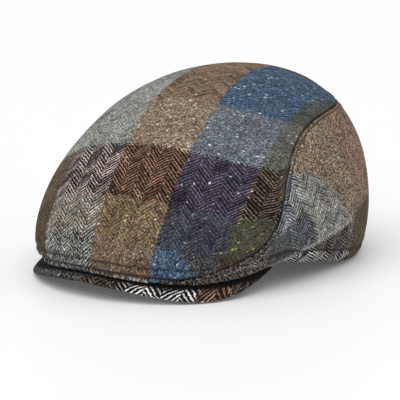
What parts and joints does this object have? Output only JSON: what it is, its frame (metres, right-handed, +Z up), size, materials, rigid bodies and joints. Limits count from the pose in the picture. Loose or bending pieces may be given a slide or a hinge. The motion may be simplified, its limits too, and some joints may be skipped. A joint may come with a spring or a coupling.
{
  "type": "flat cap",
  "caption": "Tweed flat cap with a bent peak tucked under a low crown of a top panel and two side panels, open below for the head.",
  "frame": {"origin": "on the ground under the middle of the cap's length and width, the cap resting on its rim and peak", "axes": "+Z up through the crown, -Y the way the wearer faces and the peak points, +X the wearer's left"},
  "size_m": [0.2038, 0.2752, 0.1405],
  "materials": {
    "crown_tweed": "woolly patchwork-check tweed, herringbone and flecked plain weave, matt",
    "side_tweed": "woolly patchwork-check tweed cut on the slant, matt",
    "peak_tweed": "dark herringbone tweed over a stiff board, matt",
    "thread": "dull sewing thread"
  },
  "bodies": {
    "root": {"crown_top": "crown_tweed", "side_panel_left": "side_tweed", "side_panel_right": "side_tweed", "peak": "peak_tweed"}
  },
  "joints": []
}
